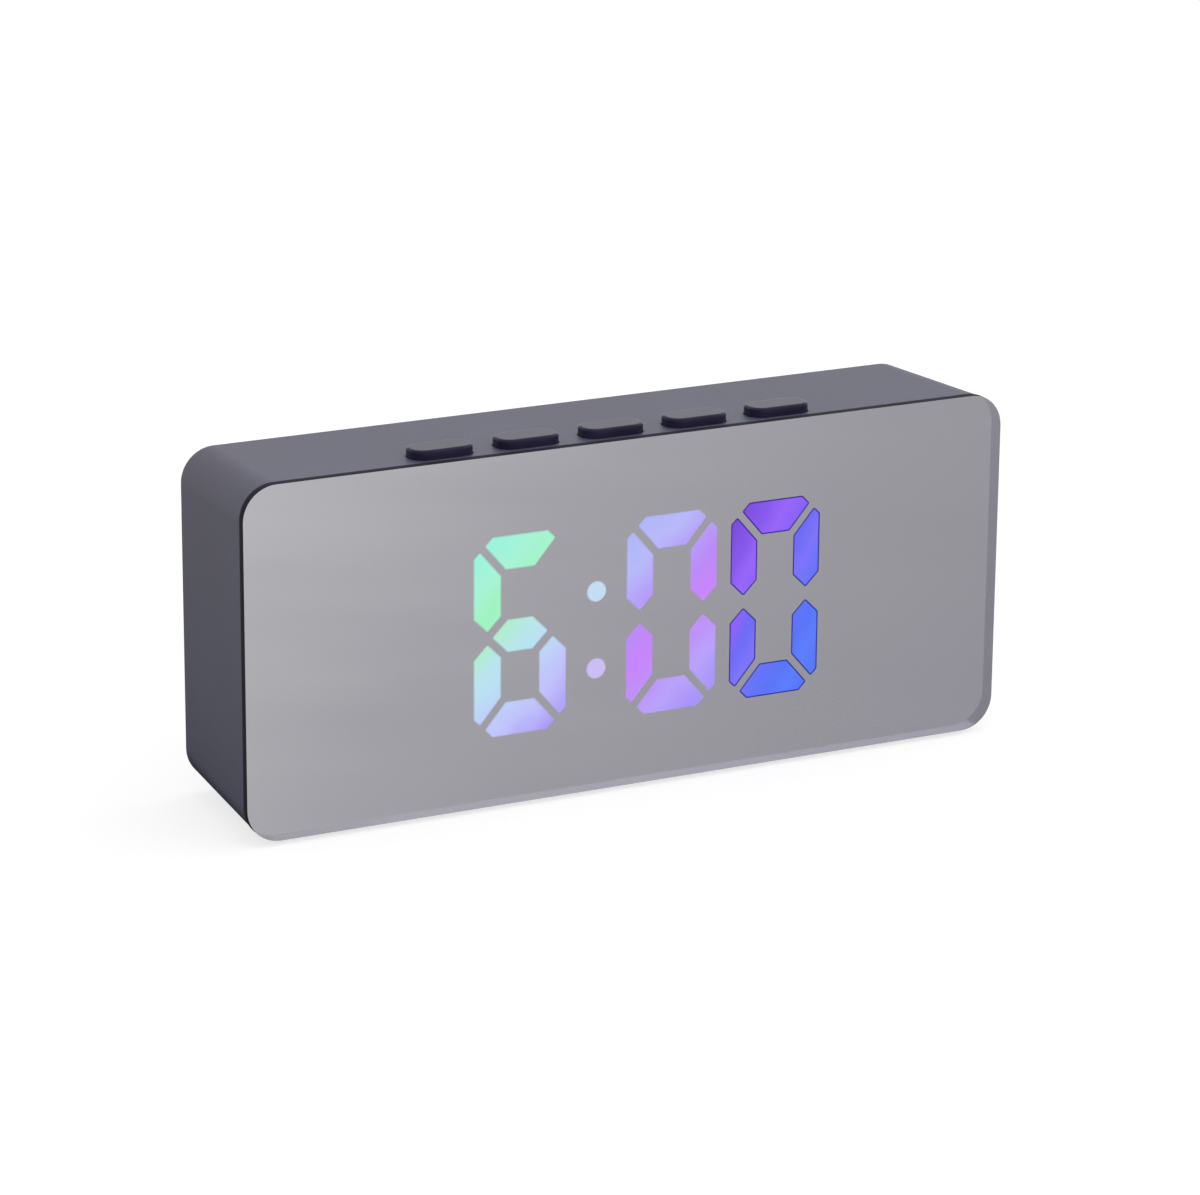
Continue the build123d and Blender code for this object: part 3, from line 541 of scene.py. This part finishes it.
# Print edge of the film around the windows: fine dots that let part of the light through
film_feather = grained(
    "film_feather",
    [(0.35, "#9E9DA4"), (0.65, "#A8A7AE")],
    patch=6 * mm,
    grain=0.3 * mm,
    relief=0.002 * mm,
    roughness=(0.12, 0.2),
    values={"Metallic": 1.0, "Alpha": 0.4},
)


def delete_faces(shape, faces):
    """Deletes faces and whatever only they used."""
    bmesh.ops.delete(shape, geom=faces, context="FACES")


def window_faces(shape, node):
    """Adds the front faces of a digit's lit segments to the shape, one face each."""
    known = set(shape.faces)
    shape.from_mesh(frame["nodes"][node].data)
    fresh = [face for face in shape.faces if face not in known]
    vertices = {vertex for face in fresh for vertex in face.verts}
    bmesh.ops.remove_doubles(shape, verts=list(vertices), dist=weld)
    fresh = [face for face in shape.faces if face not in known]
    delete_faces(shape, [face for face in fresh if face.normal.y > -facing_share])
    fresh = [face for face in shape.faces if face not in known]
    edges = {edge for face in fresh for edge in face.edges}
    vertices = {vertex for face in fresh for vertex in face.verts}
    bmesh.ops.dissolve_limit(
        shape,
        angle_limit=flat_angle,
        verts=list(vertices),
        edges=list(edges),
    )
    fresh = [face for face in shape.faces if face not in known]
    if node in dark_shares:
        low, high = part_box(node)
        middle = (low + high) / 2
        across, up = dark_shares[node]
        offset = Vector((across * (high.x - low.x), 0, up * (high.z - low.z)))
        dark_place = middle + offset

        def distance(face):
            centre = face.calc_center_median()
            return math.hypot(centre.x - dark_place.x, centre.z - dark_place.z)

        dark = min(fresh, key=distance)
        fresh.remove(dark)
        delete_faces(shape, [dark])
    return fresh


def add_piece(name, shape, body, materials):
    """Makes a finished shape an object with its materials, riding on a body."""
    mesh = bpy.data.meshes.new(name)
    shape.to_mesh(mesh)
    shape.free()
    # Normals copied with the solid's triangles no longer fit the finished shape
    mesh.attributes.remove(mesh.attributes["custom_normal"])
    for material in materials:
        mesh.materials.append(material)
    mesh.set_sharp_from_angle(angle=smooth_angle)
    piece = bpy.data.objects.new(name, mesh)
    bpy.context.scene.collection.objects.link(piece)
    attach(piece, body)
    return piece


# Mirror panel: the acrylic sheet with its painted sides, the film on its back with a window for each lit
# segment, and the mirrored inner side of the edge
panel_finishes = [mirror_film, clear_acrylic, painted_side, mirrored_side, painted_falloff_line, film_feather]
panel = bmesh.new()
panel.from_mesh(frame["nodes"]["front_panel"].data)
bmesh.ops.remove_doubles(panel, verts=panel.verts, dist=weld)
delete_faces(panel, [face for face in panel.faces if face.normal.y > facing_share])
sides = [face for face in panel.faces if face.normal.y > -slanted_share]
for face in panel.faces:
    face.smooth = True
    face.material_index = panel_finishes.index(painted_side if face in sides else clear_acrylic)
windows = []
for node in ("hour_units_segments", "minute_tens_segments", "minute_units_segments", "colon_dots"):
    faces = window_faces(panel, node)
    windows += faces
    if node == lined_digit:
        lined = faces
film_outline = [edge for edge in panel.edges if edge.is_boundary]
film_vertices = {vertex for edge in film_outline for vertex in edge.verts}
bmesh.ops.translate(panel, verts=list(film_vertices), vec=(0, -film_gap, 0))
film = bmesh.ops.triangle_fill(panel, use_beauty=True, edges=film_outline)["geom"]
for face in [item for item in film if isinstance(item, bmesh.types.BMFace)]:
    face.material_index = panel_finishes.index(mirror_film)
    face.smooth = False
for face in windows:
    face.material_index = panel_finishes.index(clear_acrylic)
    face.smooth = False
soft = [face for face in windows if face not in lined]
for faces, finish, width in ((lined, painted_falloff_line, line_width), (soft, film_feather, feather_width)):
    edge = bmesh.ops.inset_region(panel, faces=faces, thickness=width, use_even_offset=True)
    for face in edge["faces"]:
        face.material_index = panel_finishes.index(finish)
bmesh.ops.recalc_face_normals(panel, faces=panel.faces)
copies = bmesh.ops.duplicate(panel, geom=sides)["geom"]
inner_sides = [item for item in copies if isinstance(item, bmesh.types.BMFace)]
for face in inner_sides:
    face.material_index = panel_finishes.index(mirrored_side)
for vertex in {vertex for face in inner_sides for vertex in face.verts}:
    vertex.normal_update()
    vertex.co -= film_gap * vertex.normal
bmesh.ops.reverse_faces(panel, faces=inner_sides)
mirror_panel = add_piece("mirror_panel", panel, "clock", panel_finishes)
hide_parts("front_panel")

# Finishes of the solids that show as they are
finishes = {
    "case_plastic": case_plastic,
    "mirror_acrylic": clear_acrylic,
    "black_film": black_film,
    "white_reflector": white_reflector,
    "segment_unlit": segment_unlit,
    "segment_mint": segment_mint,
    "segment_lavender": segment_lavender,
    "segment_blue": segment_blue,
    "segment_pale": segment_pale,
    "led_resin": led_resin,
    "frame_plastic": frame_plastic,
    "board_green": board_green,
    "chip_black": chip_black,
    "steel": steel,
    "aluminium_can": aluminium_can,
    "ribbon_grey": ribbon_grey,
    "cell_wrap": cell_wrap,
    "lead_red": lead_red,
    "lead_black": lead_black,
    "foot_rubber": foot_rubber,
    "key_plastic": key_plastic,
    "plunger_plastic": plunger_plastic,
}
for part in frame["record"]["subparts"]:
    for slot in frame["nodes"][part["node"]].material_slots:
        slot.material = finishes[part["material_slot"]]

# Floor: pale paper, lifted to white for the camera, with the object's shadow; the clock mirrors it as plain
# white, with a painted shadow: a dark band at its left side that only reflections see
floor_material = new_material("floor_paper")
tree = floor_material.node_tree
ray = add_node(tree, "LightPath").outputs
tone = add_node(
    tree,
    "MapRange",
    {"To Min": floor_bounce, "To Max": floor_tone},
    {"Value": ray["Is Camera Ray"]},
)
paper = add_node(tree, "BsdfDiffuse", links={"Color": tone.outputs["Result"]})
glow = add_node(
    tree,
    "MapRange",
    {"To Min": 0.0, "To Max": floor_lift},
    {"Value": ray["Is Camera Ray"]},
)
lift = add_node(tree, "Emission", links={"Strength": glow.outputs["Result"]})
lifted = add_node(
    tree,
    "AddShader",
    links={0: paper.outputs["BSDF"], 1: lift.outputs["Emission"]},
)
place = add_node(tree, "TexCoord").outputs["Object"]
axes = add_node(tree, "SeparateXYZ", links={"Vector": place})
# Painted shadow: a dark band beside and under the clock's left end, in the floor that reflections see
aside = add_node(
    tree,
    "MapRange",
    {"From Min": shade_left, "From Max": shade_right},
    {"Value": axes.outputs["X"]},
)
shade = add_node(tree, "ValToRGB", links={"Fac": aside.outputs["Result"]}, tones=painted_shadow_tones)
in_front = add_node(
    tree,
    "MapRange",
    {"From Min": shade_front + shade_fade, "From Max": shade_front},
    {"Value": axes.outputs["Y"]},
)
shown = add_node(
    tree,
    "VectorMath",
    links={0: shade.outputs["Color"], 1: in_front.outputs["Result"]},
    operation="MAXIMUM",
)
mirrored = add_node(tree, "Emission", links={"Color": shown.outputs["Vector"]})
seen = add_node(
    tree,
    "MixShader",
    links={0: ray["Is Glossy Ray"], 1: lifted.outputs["Shader"], 2: mirrored.outputs["Emission"]},
)
add_node(tree, "OutputMaterial", links={"Surface": seen.outputs["Shader"]})
floor_shape = bmesh.new()
bmesh.ops.create_grid(floor_shape, x_segments=1, y_segments=1, size=floor_size / 2)
bmesh.ops.translate(floor_shape, verts=floor_shape.verts, vec=(0, 0, -floor_drop))
floor_mesh = bpy.data.meshes.new("floor")
floor_shape.to_mesh(floor_mesh)
floor_shape.free()
floor_mesh.materials.append(floor_material)
floor = bpy.data.objects.new("floor", floor_mesh)
bpy.context.scene.collection.objects.link(floor)

# Room light: even from all sides, and plain white behind the clock and in what it mirrors
world = bpy.data.worlds.new("studio")
world.use_nodes = True
bpy.context.scene.world = world
tree = world.node_tree
tree.nodes.clear()
ray = add_node(tree, "LightPath").outputs
white = add_node(
    tree,
    "Math",
    links={0: ray["Is Camera Ray"], 1: ray["Is Glossy Ray"]},
    operation="MAXIMUM",
)
level = add_node(
    tree,
    "MapRange",
    {"To Min": room_light, "To Max": 1.0},
    {"Value": white.outputs["Value"]},
)
sky = add_node(tree, "Background", {"Color": (1, 1, 1, 1)}, {"Strength": level.outputs["Result"]})
add_node(tree, "OutputWorld", links={"Surface": sky.outputs["Background"]})

# Lamp: one wide soft box above the clock, on its right
lamp = bpy.data.lights.new("soft_box", "AREA")
lamp.size = lamp_size
lamp.energy = lamp_power
lamp_object = bpy.data.objects.new("soft_box", lamp)
lamp_object.location = lamp_place
lamp_object.rotation_euler = (view_target - lamp_place).to_track_quat("-Z", "Y").to_euler()
bpy.context.scene.collection.objects.link(lamp_object)

# Camera on the left, looking down at the front
turn = math.radians(view_turn)
rise = math.radians(view_height)
towards = Vector((-math.sin(turn) * math.cos(rise), -math.cos(turn) * math.cos(rise), math.sin(rise)))
camera = bpy.data.cameras.new("camera")
camera.lens = lens_length
camera.sensor_width = sensor_width
camera.clip_start = near_limit
camera_object = bpy.data.objects.new("camera", camera)
aimed = (-towards).to_track_quat("-Z", "Y").to_matrix().to_4x4()
rolled = Matrix.Rotation(math.radians(view_roll), 4, "Z")
camera_object.matrix_world = Matrix.Translation(view_target + view_distance * towards) @ aimed @ rolled
bpy.context.scene.collection.objects.link(camera_object)
bpy.context.scene.camera = camera_object

bpy.context.scene.view_settings.view_transform = "Standard"
